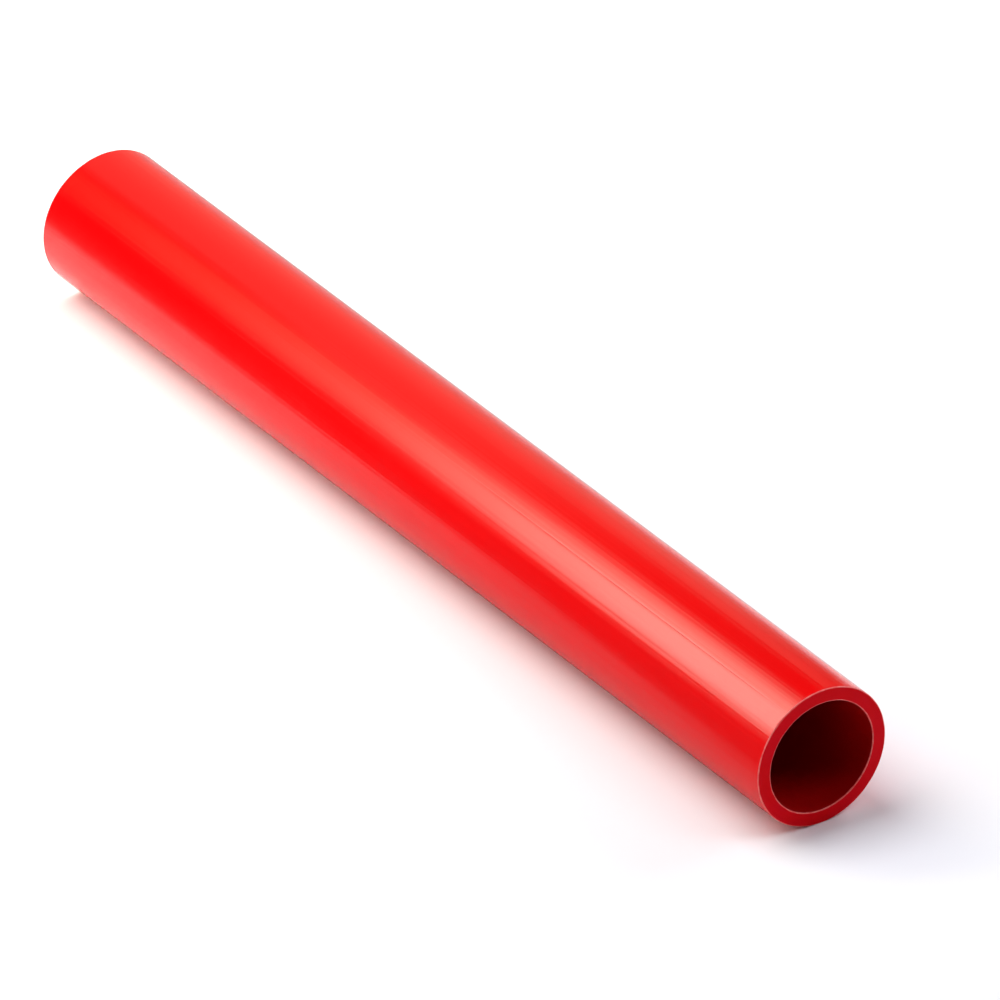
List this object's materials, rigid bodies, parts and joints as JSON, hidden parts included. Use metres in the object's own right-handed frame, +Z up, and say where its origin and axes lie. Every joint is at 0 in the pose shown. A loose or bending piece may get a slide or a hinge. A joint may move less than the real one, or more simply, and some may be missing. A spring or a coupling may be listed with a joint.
{
  "type": "plain drawing tube",
  "caption": "Straight round thick-walled plastic tube, open at both ends, cut square with lightly rounded rims, for holding or carrying a rolled sheet.",
  "frame": {"origin": "on the ground under the middle of the tube, at the middle of its length", "axes": "+X along the tube towards one open end, +Y level across it, +Z up; the tube lies on its side on Z = 0"},
  "size_m": [0.3, 0.036, 0.036],
  "materials": {
    "tube_red": "satin, opaque, coloured right through"
  },
  "bodies": {
    "root": {"tube": "tube_red"}
  },
  "joints": []
}
